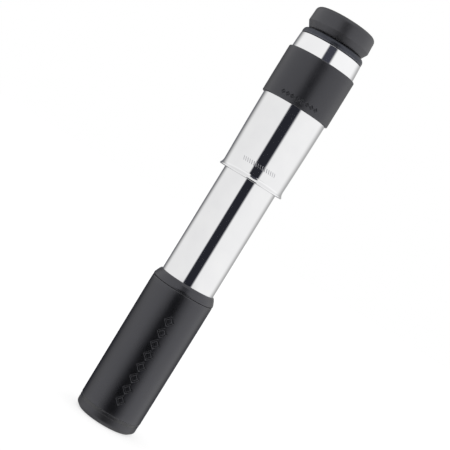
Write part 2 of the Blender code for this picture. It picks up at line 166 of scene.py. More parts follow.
def closed_mesh(name, grid, loop_rows, poles=(False, False), marks=None):
    """A closed mesh from a (rows, columns, 3) grid in millimetres. Columns close into rings, and rows do
    where loop_rows is set. The volume is a sixth of the sum of a . (b x c) over the triangles. marks holds
    (rows, columns) arrays that become attributes for the materials."""
    rows, columns = grid.shape[:2]
    number = np.arange(rows * columns).reshape(rows, columns)
    for row, pole in zip((0, -1), poles):
        if pole:
            number[row] = number[row, 0]
    beside = np.roll(number, -1, axis=1)
    quads = np.stack([number, np.roll(number, -1, axis=0), np.roll(beside, -1, axis=0), beside], axis=-1)
    quads = (quads if loop_rows else quads[:-1]).reshape(-1, 4)
    first, last = quads[:, 0] == quads[:, 3], quads[:, 1] == quads[:, 2]
    triangles = np.concatenate([quads[first][:, :3], quads[last][:, [0, 1, 3]]])
    quads = quads[~(first | last)]
    points = grid.reshape(-1, 3)
    halves = np.concatenate([quads[:, :3], quads[:, [0, 2, 3]], triangles])
    a, b, c = (points[halves[:, i]] for i in range(3))
    volume = np.einsum("ij,ij->i", a, np.cross(b, c)).sum() / 6
    if volume < 0:
        quads, triangles = quads[:, ::-1], triangles[:, ::-1]
    used, faces = np.unique(np.concatenate([quads.ravel(), triangles.ravel()]), return_inverse=True)
    quads, triangles = faces[:quads.size].reshape(-1, 4), faces[quads.size:].reshape(-1, 3)
    mesh = bpy.data.meshes.new(name)
    mesh.from_pydata((points[used] * MM).tolist(), [], quads.tolist() + triangles.tolist())
    for mark, values in (marks or {}).items():
        attribute = mesh.attributes.new(mark, "FLOAT", "POINT")
        attribute.data.foreach_set("value", values.reshape(-1)[used].astype(np.float32))
    mesh.polygons.foreach_set("use_smooth", np.ones(len(mesh.polygons), bool))
    piece = bpy.data.objects.new(name, mesh)
    bpy.context.scene.collection.objects.link(piece)
    print(f"{name}: {len(halves)} triangles, {abs(volume) / 1000:.2f} cm3")
    return piece


# %% [markdown]
# ## Turning, and where wear shows
#
# A turned piece is its outline carried round the axis: x is r cos(a), y is r sin(a), and z is the height. A
# `carve` function may change the radius from place to place, and that is how flutes, threads and pressed-in
# patterns are made. Hands and tables rub the convex corners first. How sharply the outline turns outwards,
# blurred over a third of a millimetre, says where that is, and it is stored on the points as `edge` for the
# materials to read.

# %% Turned pieces
FRONT = -math.pi / 2  # the angle of the side with the marks
EVEN = np.linspace(0, 2 * math.pi, 192, endpoint=False)


def finer_towards(middle, half_width, fine, coarse):
    """Angles round the axis: `fine` of them within half_width of middle, and `coarse` over the rest."""
    close = np.linspace(middle - half_width, middle + half_width, fine, endpoint=False)
    rest = np.linspace(middle + half_width, middle - half_width + 2 * math.pi, coarse, endpoint=False)
    return np.concatenate([close, rest])


def convexity(points, loop):
    """How far the outline turns outwards near each point, from 0 to 1: each point's turning angle, shared
    out with a bell curve 0.35 mm wide along the outline."""
    ahead = np.roll(points, -1, axis=0) - points
    behind = points - np.roll(points, 1, axis=0)
    turn = -np.arctan2(behind[:, 0] * ahead[:, 1] - behind[:, 1] * ahead[:, 0], (behind * ahead).sum(1))
    if not loop:
        turn[[0, -1]] = 0
    length = np.cumsum(np.linalg.norm(behind, axis=1))
    apart = np.abs(length[:, None] - length)
    if loop:
        apart = np.minimum(apart, length[-1] - length[0] + np.linalg.norm(behind[0]) - apart)
    return np.clip(np.exp(-(apart / 0.35) ** 2) @ np.maximum(turn, 0), 0, 1.2) / 1.2


def turned(name, corners, angles=EVEN, carve=None, longest=2.5, marks=None):
    """A turned piece. Its outline runs down the outer side and up the inner side, or ends on the axis.
    carve(radius, height, angle) gives the radius of every grid point from whole arrays, and marks gives
    more attributes the same way."""
    on_axis = corners[0][0] == 0
    points = outline(corners, not on_axis, longest)
    radius, angle = np.meshgrid(points[:, 0], angles, indexing="ij")
    height = np.repeat(points[:, 1:], len(angles), axis=1)
    values = {"edge": np.repeat(convexity(points, not on_axis)[:, None], len(angles), axis=1)}
    values.update({mark: formula(radius, height, angle) for mark, formula in (marks or {}).items()})
    if carve:
        radius = carve(radius, height, angle)
    grid = np.stack([radius * np.cos(angle), radius * np.sin(angle), height], axis=-1)
    return closed_mesh(name, grid, not on_axis, (on_axis, on_axis), values)


def plainly_turned(name, points, angles, loop):
    """A turned piece from (radius, height) points that are already close together, with nowhere worn."""
    radius, height = points[:, :1], points[:, 1:]
    grid = np.stack([radius * np.cos(angles), radius * np.sin(angles), height + 0 * angles], axis=-1)
    return closed_mesh(name, grid, loop, (not loop, not loop), {"edge": np.zeros(grid.shape[:2])})


def stands_for(piece, node, material):
    """Puts a finished piece in its node's place: same body, the given material, and the node isn't shown."""
    piece.data.materials.append(material)
    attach(piece, BODY_OF[node])
    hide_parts(node)
    PIECES[node] = piece
    return piece


def smooth_step(value):
    """0 below 0, 1 above 1, and a soft S-shaped curve, 3 v^2 - 2 v^3, between."""
    value = np.clip(value, 0, 1)
    return value * value * (3 - 2 * value)


print("Sides of a plain turned piece:", len(EVEN))

# %% [markdown]
# ## Finishes
#
# A finish is more than a colour. Each one here has a base colour that drifts a little from place to place,
# a roughness that varies, a fine grain or the lines of a cutting tool as bump, and paler or smoother
# corners where `edge` says that the piece is rubbed. All patterns read the object's own coordinates, so
# they stay put in every view and pose. A scale is in features per metre: 3000 gives a grain of a third of a
# millimetre.

# %% One recipe for every finish
DRIFT, PATCH, SCUFF = 120.0, 60.0, 900.0  # scales of the change in colour, in roughness and in wear


def noise_at(nodes, links, place, scale, detail=3.0, stretch=(1.0, 1.0, 1.0)):
    """Noise on the object's coordinates, stretched by a Mapping node. A stretch of 0 gives lines."""
    mapping = nodes.new("ShaderNodeMapping")
    mapping.inputs["Scale"].default_value = [scale * s for s in stretch]
    noise = nodes.new("ShaderNodeTexNoise")
    noise.inputs["Scale"].default_value = 1.0
    noise.inputs["Detail"].default_value = detail
    links.new(place, mapping.inputs["Vector"])
    links.new(mapping.outputs["Vector"], noise.inputs["Vector"])
    return noise.outputs["Fac"]


def ranged(nodes, links, value, low, high, start=0.3, stop=0.7, curve="LINEAR"):
    """Maps start to stop to low to high. A noise's usual range is 0.3 to 0.7."""
    step = nodes.new("ShaderNodeMapRange")
    step.interpolation_type = curve
    for name, number in (("From Min", start), ("From Max", stop), ("To Min", low), ("To Max", high)):
        step.inputs[name].default_value = number
    links.new(value, step.inputs["Value"])
    return step.outputs["Result"]


def mixed(nodes, links, factor, one, other):
    """One colour where factor is 0 and the other where it is 1. Each is a colour or a node's output."""
    mix = nodes.new("ShaderNodeMix")
    mix.data_type = "RGBA"
    links.new(factor, mix.inputs["Factor"])
    for name, colour in (("A", one), ("B", other)):
        socket = next(s for s in mix.inputs if s.name == name and s.type == "RGBA")
        if isinstance(colour, tuple):
            socket.default_value = (*colour, 1)
        else:
            links.new(colour, socket)
    return next(s for s in mix.outputs if s.type == "RGBA")


def blended(nodes, links, factor, one, other):
    """A node's output where factor is 0 and a number where it is 1."""
    mix = nodes.new("ShaderNodeMix")
    links.new(factor, mix.inputs["Factor"])
    links.new(one, mix.inputs["A"])
    mix.inputs["B"].default_value = other
    return mix.outputs["Result"]


def computed(nodes, links, operation, one, other=0.0):
    """A Math node on two values, each an output or a number."""
    step = nodes.new("ShaderNodeMath")
    step.operation = operation
    for socket, value in zip(step.inputs, (one, other)):
        if isinstance(value, (int, float)):
            socket.default_value = value
        else:
            links.new(value, socket)
    return step.outputs["Value"]


def finish(name, colours, roughness, bumps, worn, metallic=0.0, specular=0.5, **sockets):
    """A Principled material. colours and roughness are (one, other) that noise mixes. bumps are (scale,
    stretch, height in metres). worn is (colour, share, roughness) for the convex corners. sockets are set
    as they are."""
    material = bpy.data.materials.new(name)
    material.use_nodes = True
    nodes, links = material.node_tree.nodes, material.node_tree.links
    shader = nodes["Principled BSDF"]
    shader.inputs["Metallic"].default_value = metallic
    shader.inputs["Specular IOR Level"].default_value = specular
    for socket, value in sockets.items():
        shader.inputs[socket.replace("_", " ")].default_value = value
    place = nodes.new("ShaderNodeTexCoord").outputs["Object"]
    tone = ranged(nodes, links, noise_at(nodes, links, place, DRIFT), 0, 1)
    colour = mixed(nodes, links, tone, *colours)
    rough = ranged(nodes, links, noise_at(nodes, links, place, PATCH, 5), *roughness)
    worn_colour, worn_share, worn_rough = worn
    edge = nodes.new("ShaderNodeAttribute")
    edge.attribute_name = "edge"
    uneven = ranged(nodes, links, noise_at(nodes, links, place, SCUFF, 4), 0.1, 1)
    rubbed = computed(nodes, links, "MULTIPLY", edge.outputs["Fac"], uneven)
    rubbed = computed(nodes, links, "MULTIPLY", rubbed, worn_share)
    colour = mixed(nodes, links, rubbed, colour, worn_colour)
    rough = blended(nodes, links, rubbed, rough, worn_rough)
    links.new(colour, shader.inputs["Base Color"])
    links.new(rough, shader.inputs["Roughness"])
    normal = None
    for scale, stretch, height in bumps:
        bump = nodes.new("ShaderNodeBump")
        bump.inputs["Distance"].default_value = height
        links.new(noise_at(nodes, links, place, scale, 2, stretch), bump.inputs["Height"])
        if normal:
            links.new(normal, bump.inputs["Normal"])
        normal = bump.outputs["Normal"]
    links.new(normal, shader.inputs["Normal"])
    return material


print("A finish varies in its base colour, roughness and normal")

# %% [markdown]
# The polish is nearly a mirror, with the finest lines of the buffing wheel. The turned pieces keep the
# rings that the tool left. Rubber is close to black: what is seen of it is its soft gloss, so its specular
# level is high and its base colour is very dark. The cap's rubber is a little paler and duller than the
# grip's, because it is softer.

# %% The finishes
ALL_WAYS, ROUND_LINES, LONG_LINES = (1, 1, 1), (0, 0, 1), (1, 1, 0.02)
COOL = (0.95, 0.95, 1.04, 1)  # the faint blue of the light that black rubber throws back

POLISHED = finish(
    "polished_aluminium", ((0.87, 0.87, 0.88), (0.9, 0.9, 0.905)), (0.045, 0.075),
    [(9000, ROUND_LINES, 1.5e-7), (1400, LONG_LINES, 2e-7)],
    worn=((0.93, 0.93, 0.94), 0.6, 0.12), metallic=1.0)
SATIN = finish(
    "satin_turned_aluminium", ((0.6, 0.61, 0.63), (0.68, 0.69, 0.71)), (0.24, 0.36),
    [(5000, ROUND_LINES, 2.5e-6), (2500, ALL_WAYS, 1e-6)],
    worn=((0.82, 0.82, 0.83), 0.8, 0.16), metallic=1.0)
ANODISED = finish(
    "black_anodised_aluminium", ((0.05, 0.053, 0.066), (0.066, 0.07, 0.085)), (0.3, 0.4),
    [(4500, ROUND_LINES, 1.5e-6), (3500, ALL_WAYS, 1.5e-6)],
    worn=((0.3, 0.3, 0.32), 0.35, 0.25), metallic=0.9)
BRASS = finish(
    "turned_brass", ((0.66, 0.46, 0.2), (0.78, 0.6, 0.3)), (0.2, 0.34),
    [(5000, ROUND_LINES, 2e-6), (2500, ALL_WAYS, 1e-6)],
    worn=((0.86, 0.7, 0.42), 0.7, 0.15), metallic=1.0)
STEEL = finish(
    "bright_steel", ((0.5, 0.51, 0.53), (0.6, 0.6, 0.62)), (0.14, 0.26),
    [(6000, ALL_WAYS, 6e-7)], worn=((0.75, 0.75, 0.76), 0.7, 0.12), metallic=1.0)
GRIP_RUBBER = finish(
    "satin_grip_rubber", ((0.0023, 0.0024, 0.0032), (0.0037, 0.0038, 0.0048)), (0.25, 0.32),
    [(5200, ALL_WAYS, 4.5e-6), (900, ALL_WAYS, 2.5e-6)],
    worn=((0.05, 0.05, 0.052), 0.5, 0.3), specular=1.0, Specular_Tint=COOL)
COLLAR_RUBBER = finish(
    "satin_collar_rubber", ((0.0032, 0.0033, 0.0042), (0.0048, 0.0049, 0.006)), (0.33, 0.4),
    [(5200, ALL_WAYS, 6e-6), (900, ALL_WAYS, 3e-6)],
    worn=((0.05, 0.05, 0.052), 0.5, 0.3), specular=0.88, Specular_Tint=COOL)
CAP_RUBBER = finish(
    "matte_cap_rubber", ((0.0075, 0.0074, 0.0078), (0.0105, 0.0103, 0.0108)), (0.35, 0.43),
    [(4200, ALL_WAYS, 7e-6), (700, ALL_WAYS, 5e-6)],
    worn=((0.05, 0.049, 0.048), 0.5, 0.4), specular=0.95, Specular_Tint=COOL, Sheen_Weight=0.08,
    Sheen_Roughness=0.4)
SEAL_RUBBER = finish(
    "greased_seal_rubber", ((0.012, 0.012, 0.012), (0.02, 0.02, 0.021)), (0.2, 0.4),
    [(3000, ALL_WAYS, 4e-6)], worn=((0.04, 0.04, 0.04), 0.4, 0.2))
PLASTIC = finish(
    "moulded_black_plastic", ((0.02, 0.02, 0.022), (0.028, 0.028, 0.031)), (0.34, 0.46),
    [(3600, ALL_WAYS, 6e-6)], worn=((0.06, 0.06, 0.065), 0.5, 0.25))
GLOSS_PLASTIC = finish(
    "glossy_black_plastic", ((0.012, 0.012, 0.014), (0.018, 0.018, 0.02)), (0.13, 0.22),
    [(1500, ALL_WAYS, 2e-6)], worn=((0.05, 0.05, 0.055), 0.5, 0.15), specular=0.7)
print("Finishes:", ", ".join(m.name for m in bpy.data.materials if m.use_nodes and m.name.count("_")))

# %% [markdown]
# ## The foot
#
# The pump stands on a soft rubber cap, whose rim goes round the end of the tube and whose stud snaps into a
# plug inside it. Its underside has three moulded rings, so that it grips a table. They are cut upwards, so
# the foot still rests on a flat face. They could be a bump in the material, but a real groove shows in the
# mesh as well.

# %% The foot cap
SEAM = 0.22  # how far a rubber piece swells into the gap above it, to leave a fine groove
foot_low, foot_top, foot_r = reach("foot_cap")
foot_top += SEAM
RIM_R = TUBE_R + FIT
SEAT = TUBE_LOW - 0.3  # the height of the foot's inner face, just under the tube's end
STUD_TOP, STUD_R, FOOT_FACE_R = 7.0, 4.0, 14.0


def ring_grooves(bottom, middles, half_width, depth):
    """Corners of grooves cut upwards into a flat underside, from the outside in."""
    corners = []
    for middle in middles:
        for side, rise in ((1.0, 0.0), (0.5, depth), (-0.5, depth), (-1.0, 0.0)):
            corners.append((middle + half_width * side, bottom + rise, 0.12))
    return corners


foot = turned("rubber_foot", [
    (0, STUD_TOP), (STUD_R - FIT, STUD_TOP, 0.6), (STUD_R - FIT, SEAT, 0.2), (RIM_R, SEAT, 0.1),
    (RIM_R, foot_top, 0.15), (foot_r, foot_top, 0.25), (foot_r, 2.0, 1.9), (FOOT_FACE_R + 0.6, 0.25, 1.0),
    (FOOT_FACE_R - 0.6, foot_low, 0.8), *ring_grooves(foot_low, (10.6, 7.6, 4.6), 0.7, 0.45),
    (0, foot_low)])
stands_for(foot, "foot_cap", CAP_RUBBER)

# %% [markdown]
# Between foot and grip sits a thin glossy ring. Inside the tube are the plug that holds the foot's stud,
# and at the other end the one that the piston is screwed to.

# %% The trim ring and the plugs
trim_low, trim_top, trim_r = reach("trim_ring")
trim_top += SEAM
trim = turned("glossy_trim", [
    (trim_r, trim_top, 0.3), (trim_r, trim_low, 0.3), (RIM_R, trim_low, 0.1), (RIM_R, trim_top, 0.1)])
stands_for(trim, "trim_ring", GLOSS_PLASTIC)

plug_low, plug_top, plug_r = reach("foot_plug")
SOCKET_TOP, DISHED = STUD_TOP + 0.5, plug_top - 1
stud_plug = turned("stud_plug", [
    (0, DISHED), (plug_r - 3, DISHED, 0.4), (plug_r - 2.4, plug_top, 0.3), (plug_r, plug_top, 0.5),
    (plug_r, plug_low, 0.2), (STUD_R, plug_low, 0.2), (STUD_R, SOCKET_TOP, 0.3), (0, SOCKET_TOP)])
stands_for(stud_plug, "foot_plug", PLASTIC)

top_low, top_top, top_r = reach("plunger_plug")
TAPPED_R = 2.1  # radius of the hole that the piston's screw goes into
screw_plug = turned("screw_plug", [
    (top_r, top_top, 0.3), (top_r, top_low, 0.5), (TAPPED_R, top_low, 0.2), (TAPPED_R, top_top, 0.2)])
stands_for(screw_plug, "plunger_plug", SATIN)

# %% [markdown]
# ## The grip
#
# The grip is a satin rubber sleeve that narrows a little towards the foot. A chain of pressed-in lozenges
# runs up its front. They could be cut with a Boolean, but a formula gives them soft edges. A lozenge is
# where (|u| + |v|) / half its width stays under 1, with u measured round the sleeve and v along it. The
# groove follows the lozenge's outline, a little inside it: it is deepest where that sum is 0.78. The grid
# is finer where the chain is, because a groove needs a few points across it.

# %% The grip sleeve
grip_low, grip_top, grip_r = reach("grip_sleeve")
grip_top += SEAM
TAPER, TAPER_TOP, TAPER_LENGTH = 0.26, 66.0, 60.0  # how much narrower, from where down, over what length
CHAIN_LOW, CHAIN_HIGH, LOZENGES = 12.5, 64.5, 8
CHAIN_MIDDLE = FRONT + 0.135
CHAIN_ANGLES = finer_towards(CHAIN_MIDDLE, 0.24, 76, 132)


def lozenge_groove(u, v, half, middle, width, soft):
    """1 in the groove and 0 away from it. The groove is where |u| / half + |v| / half is within width of
    middle, and its edge is soft."""
    level = np.abs(u) / half + np.abs(v) / half
    return smooth_step((width - np.abs(level - middle)) / soft)


def pressed_chain(radius, height, angle):
    """The radius, less the depth of a chain of lozenge outlines on the outer side."""
    pitch = (CHAIN_HIGH - CHAIN_LOW) / LOZENGES
    u = (angle - CHAIN_MIDDLE) * radius
    v = np.mod(height - CHAIN_LOW, pitch) - pitch / 2
    groove = lozenge_groove(u, v, 2.9, 0.78, 0.19, 0.15)
    inside = (height > CHAIN_LOW) & (height < CHAIN_HIGH) & (radius > TUBE_R + 1)
    return radius - 0.55 * groove * inside


def tapered(height):
    """The grip's radius, which falls evenly with the height."""
    return grip_r - TAPER * (TAPER_TOP - height) / TAPER_LENGTH


chain_heights = np.arange(CHAIN_HIGH + 1.0, CHAIN_LOW - 0.9, -0.2)
grip = turned("hand_grip", [
    (grip_r, grip_top, 0.5), (grip_r, TAPER_TOP), *along(chain_heights, tapered),
    (grip_r - TAPER, grip_low, 0.45), (RIM_R, grip_low, 0.15), (RIM_R, grip_top, 0.15)],
    angles=CHAIN_ANGLES, carve=pressed_chain)
stands_for(grip, "grip_sleeve", GRIP_RUBBER)

# %% [markdown]
# A round-shouldered ring closes the grip's top. Only a fine groove parts the two, and the mouth of the
# cylinder comes down over this shoulder when the pump is shut.

# %% The shoulder
shoulder_low, shoulder_top, shoulder_r = reach("grip_shoulder")
shoulder = turned("round_shoulder", [
    (15.4, shoulder_top, 0.25), (16.15, shoulder_top - 1.2, 1.2), (shoulder_r, shoulder_top - 3.5, 2.0),
    (shoulder_r, shoulder_low, 0.3), (RIM_R, shoulder_low, 0.1), (RIM_R, shoulder_top, 0.15)])
stands_for(shoulder, "grip_shoulder", GRIP_RUBBER)

# %% [markdown]
# ## The two polished tubes
#
# The plunger is a plain drawn tube. The cylinder is not quite straight: its side bows outwards a little, as
# two parabolas that meet level at the belly, and its mouth flares out to a rolled lip. A polished side
# shows every change of slope, so its outline is worked out as a curve at many heights and not as a few
# straight runs.

# %% The plunger tube
TUBE_INNER_R = TUBE_R - 0.9
plunger = turned("plunger_pipe", [
    (TUBE_R, TUBE_TOP, 0.3), (TUBE_R, TUBE_LOW, 0.3), (TUBE_INNER_R, TUBE_LOW, 0.2),
    (TUBE_INNER_R, TUBE_TOP, 0.2)])
stands_for(plunger, "plunger_tube", POLISHED)

# %% [markdown]
# The cylinder's mouth could be a ring stuck on a straight tube, but its metal really runs on into the lip,
# so side, flare and lip are one outline. Above the mouth is a row of etched ticks, which only says where
# the finish changes.

# %% The flared cylinder
WAIST, BELLY, LIP_HEIGHT, WALL = MOUTH + 4, 200.0, 0.75, 0.8
WAIST_R, BELLY_R, CYLINDER_TOP_R = 17.03, 17.75, 17.18
ETCH_LOW, ETCH_HIGH, ETCH_PITCH = 147.6, 149.8, 1.2
ETCH_R, ETCH_HALF, ETCH_SLANT = 17.0, 9.6, 0.35


def side_radius(height):
    """Two parabolas: from the waist up to the belly, and from there to the top, each level at the belly."""
    below = BELLY_R - (BELLY_R - WAIST_R) * ((BELLY - height) / (BELLY - WAIST)) ** 2
    above = BELLY_R - (BELLY_R - CYLINDER_TOP_R) * ((height - BELLY) / (CYLINDER_TOP - BELLY)) ** 2
    return np.where(height < BELLY, below, above)


def flare_radius(height):
    """The flare widens with the cube of the depth below the waist."""
    return WAIST_R + (LIP_R - WAIST_R) * ((WAIST - height) / (WAIST - MOUTH - LIP_HEIGHT)) ** 3


def etched_ticks(radius, height, angle):
    """1 on a short row of slanted ticks round the front, and 0 elsewhere: a tick is where a sine along the
    slanted way round is high."""
    u = (angle - FRONT - 0.05) * ETCH_R + (height - ETCH_LOW) * ETCH_SLANT
    tick = smooth_step((np.sin(u * 2 * math.pi / ETCH_PITCH) - 0.15) * 2.5)
    band = smooth_step((height - ETCH_LOW) * 8) * smooth_step((ETCH_HIGH - height) * 8)
    return tick * band * (np.abs(u) < ETCH_HALF) * (radius > BORE_R + 0.3)


side_heights = np.concatenate([np.arange(CYLINDER_TOP - 0.6, ETCH_HIGH + 0.4, -2.0),
                               np.arange(ETCH_HIGH + 0.3, ETCH_LOW - 0.4, -0.12),
                               np.arange(ETCH_LOW - 0.6, WAIST, -0.4)])
flare_heights = np.linspace(WAIST, MOUTH + LIP_HEIGHT + 0.08, 24)
cylinder = turned("flared_cylinder", [
    (CYLINDER_TOP_R, CYLINDER_TOP, 0.2), *along(side_heights, side_radius),
    *along(flare_heights, flare_radius), (LIP_R, MOUTH + LIP_HEIGHT - 0.06, 0.1), (LIP_R, MOUTH, 0.38),
    (LIP_R - WALL, MOUTH, 0.28),
    *((r - WALL, z) for r, z in along(flare_heights[::-1], flare_radius)),
    (BORE_R, WAIST), (BORE_R, CYLINDER_TOP, 0.2)],
    angles=finer_towards(FRONT, 0.62, 220, 120), marks={"etch": etched_ticks})

# %% [markdown]
# The ticks are etched, not cut: the acid leaves the shape alone and makes the polish matte and grey. So
# they change only the finish. This one is a copy of the polish in which the `etch` attribute mixes in a
# darker, rougher surface.

# %% The etched polish
ETCHED = POLISHED.copy()
ETCHED.name = "polished_aluminium_etched"
ETCHED_COLOUR, ETCHED_ROUGHNESS = (0.56, 0.56, 0.58), 0.4
etch_nodes, etch_links = ETCHED.node_tree.nodes, ETCHED.node_tree.links
etch_mark = etch_nodes.new("ShaderNodeAttribute")
etch_mark.attribute_name = "etch"
etch_fac = etch_mark.outputs["Fac"]
for socket, mixer, etched in (("Base Color", mixed, ETCHED_COLOUR), ("Roughness", blended, ETCHED_ROUGHNESS)):
    target = etch_nodes["Principled BSDF"].inputs[socket]
    etch_links.new(mixer(etch_nodes, etch_links, etch_fac, target.links[0].from_socket, etched), target)
stands_for(cylinder, "cylinder_tube", ETCHED)
print("Nodes in the polish:", len(POLISHED.node_tree.nodes), "and in its etched copy:", len(etch_nodes))

# %% [markdown]
# ## The collar
#
# A rubber band round the cylinder gives the other hand its hold. It has a short row of small pressed-in
# lozenges near its lower edge, made with the same rule as the grip's chain, but running round the collar.

# %% The handle collar
collar_low, collar_top, collar_r = reach("handle_collar")
ROW_HEIGHT, ROW_COUNT, ROW_PITCH = collar_low + 3.4, 8, 2.7


def pressed_row(radius, height, angle):
    """The radius, less the depth of a row of small lozenge outlines round the front of the outer side."""
    u = (angle - FRONT) * radius
    step = np.mod(u, ROW_PITCH) - ROW_PITCH / 2
    groove = lozenge_groove(step, height - ROW_HEIGHT, ROW_PITCH / 2, 0.6, 0.42, 0.32)
    inside = (np.abs(u) < ROW_PITCH * ROW_COUNT / 2) & (radius > collar_r - 0.4)
    return radius - 0.4 * groove * inside


COLLAR_BORE_R = BELLY_R + FIT
row_heights = np.arange(ROW_HEIGHT + 1.6, ROW_HEIGHT - 1.6, -0.15)
collar = turned("rubber_collar", [
    (collar_r, collar_top, 0.5), (collar_r, ROW_HEIGHT + 2.0), *((collar_r, z) for z in row_heights),
    (collar_r, collar_low, 0.5), (COLLAR_BORE_R, collar_low, 0.2), (COLLAR_BORE_R, collar_top, 0.2)],
    angles=finer_towards(FRONT, 0.64, 200, 130), carve=pressed_row)
stands_for(collar, "handle_collar", COLLAR_RUBBER)

# %% [markdown]
# ## The head
#
# The thread is a wave whose crest climbs 1 mm with every turn round the axis, so its phase is height over
# pitch less angle over a full turn. A real thread would be cut along a helix; on a grid, letting the
# radius sink and rise is enough, and the mesh stays one closed skin.

# %% The head and its thread
head_low, head_top, _ = reach("head_body")
DISC_R = BORE_R - 0.2
NOZZLE_R, BOSS_R, POCKET_R = 6.3, 6.8, 4.7
DISC_LOW, DISC_TOP, THREAD_PITCH = 212.4, 215.4, 1.0
GLAND_LOW, GLAND_TOP, GLAND_R = 213.1, 214.7, 14.55  # the groove for the head's O-ring
PORT_R, CHAMBER_R, CHAMBER_LOW, POCKET_LOW = 1.5, 3.4, 205.5, 211.5  # the air's way up, past the ball


def threaded(radius, height, angle):
    """The radius, less the depth of a thread on the nozzle's outer side, which fades out at both ends."""
    wave = 0.5 - 0.5 * np.cos(2 * math.pi * (height / THREAD_PITCH - angle / (2 * math.pi)))
    fade = smooth_step((height - DISC_TOP - 0.9) * 1.5) * smooth_step((head_top - 0.2 - height) * 2)
    return radius - 0.42 * wave * fade * (np.abs(radius - NOZZLE_R) < 0.05)


head = turned("valve_head", [
    (NOZZLE_R, head_top, 0.3), *((NOZZLE_R, z) for z in np.arange(head_top - 0.4, DISC_TOP + 0.6, -0.125)),
    (NOZZLE_R, DISC_TOP, 0.3), (DISC_R, DISC_TOP, 0.15), (DISC_R, GLAND_TOP, 0.1), (GLAND_R, GLAND_TOP, 0.1),
    (GLAND_R, GLAND_LOW, 0.1), (DISC_R, GLAND_LOW, 0.1), (DISC_R, DISC_LOW, 0.15), (BOSS_R, DISC_LOW, 0.3),
    (BOSS_R, head_low, 0.5), (PORT_R, head_low, 0.3), (PORT_R, CHAMBER_LOW, 0.15),
    (CHAMBER_R, CHAMBER_LOW, 0.2), (CHAMBER_R, POCKET_LOW, 0.1), (POCKET_R, POCKET_LOW, 0.1),
    (POCKET_R, head_top, 0.3)], angles=np.linspace(0, 2 * math.pi, 144, endpoint=False), carve=threaded)
stands_for(head, "head_body", SATIN)

# %% [markdown]
# A dark ring closes the cylinder's top. Its flange lies on the tube's end with its outer edge well rounded,
# and the well in its middle is what the dust cap plugs into.

# %% The dark ring
ring_low, ring_top, ring_r = reach("head_ring")
WELL_R, FLANGE_LOW, RING_BODY_R = 11.6, CYLINDER_TOP + 0.3, BORE_R - FIT
ring = turned("black_ring", [
    (ring_r, ring_top, 2.1), (ring_r, FLANGE_LOW, 0.15), (RING_BODY_R, FLANGE_LOW, 0.1),
    (RING_BODY_R, ring_low, 0.3), (WELL_R, ring_low, 0.2), (WELL_R, ring_top, 0.5)], longest=1.5)
stands_for(ring, "head_ring", ANODISED)

# %% [markdown]
# ## Rubber rings
#
# An O-ring is a circle carried round the axis. One lies in the head's groove. The other floats in the
# piston's wide groove: it seals on the push and lets air past on the pull. A third, square ring is the
# bumper at the end of the stroke, and the chuck's gasket is a thick one that closes round a tyre's valve
# when the nut squeezes it.

# %% O-rings, bumper and gasket


def o_ring(name, node):
    """A ring whose section is a circle: radius R + r cos(t), height z + r sin(t)."""
    low, high, outer = reach(node)
    section = (high - low) / 2
    t = np.linspace(0, -2 * math.pi, 24, endpoint=False)
    points = np.stack([outer - section + section * np.cos(t), (low + high) / 2 + section * np.sin(t)], axis=1)
    return stands_for(plainly_turned(name, points, EVEN, True), node, SEAL_RUBBER)


def soft_ring(name, node, inner, edge):
    """A ring with a nearly square section and rounded edges."""
    low, high, outer = reach(node)
    corners = [(outer, high, edge), (outer, low, edge), (inner, low, edge), (inner, high, edge)]
    return stands_for(turned(name, corners), node, SEAL_RUBBER)


o_ring("head_o_ring", "head_seal")
o_ring("floating_seal", "piston_seal")
soft_ring("rubber_bumper", "stop_ring", TUBE_R + 0.3, 0.25)
gasket = soft_ring("valve_gasket", "chuck_gasket", 3.4, 0.45)

# %% [markdown]
# ## Shapes that repeat round the axis
#
# The next three pieces have notches or flats round the axis. Boolean cuts would do, but on a turned grid a
# formula for the radius is cleaner. Across a notch of radius n the surface sinks by the height of a circle,
# the square root of n^2 - u^2. A hexagon's wall stands, at each angle, at (half the width across the flats)
# / cos(angle from the middle of the nearest flat).

# %% Notches and hexagons
FINE = np.linspace(0, 2 * math.pi, 360, endpoint=False)


def notch_depth(angle, radius, size, count=4, start=math.radians(47)):
    """How far a round notch sinks at each angle: the height of a circle of that size above its chord."""
    turn = 2 * math.pi / count
    u = (np.mod(angle - start + turn / 2, turn) - turn / 2) * radius
    return np.sqrt(np.maximum(size ** 2 - u ** 2, 0))


def hexagon(angle, half_flats):
    """The distance from the axis to a hexagon's wall."""
    sixth = math.pi / 3
    return half_flats / np.cos(np.mod(angle, sixth) - sixth / 2)


print(f"A hexagon 2 mm across its flats is {2 * hexagon(0.0, 1.0):.2f} mm across its corners")

# %% [markdown]
# ## The piston
#
# The piston's spigot sits in the plunger's end, and the wide groove round it holds the floating O-ring.
# Four round notches in its upper lip let the air past on the pull, when the ring lies against that lip.

# %% The piston
piston_low, piston_top, piston_r = reach("piston")
SPIGOT_R, SEAL_ROOT_R, RECESS_R, RECESS_FLOOR = TUBE_INNER_R - FIT, 13.7, 7.5, 142.0
GROOVE_LOW, GROOVE_TOP, LAND_LOW, SCREW_HOLE_R = 149.4, 152.2, 148.2, 2.05


def notched_lip(radius, height, angle):
    """The radius, less four notches in the lip above the groove."""
    lip = (height > GROOVE_TOP - 0.01) & (radius > SEAL_ROOT_R + 0.3)
    return np.where(lip, np.minimum(radius, piston_r - notch_depth(angle, piston_r, 0.8)), radius)


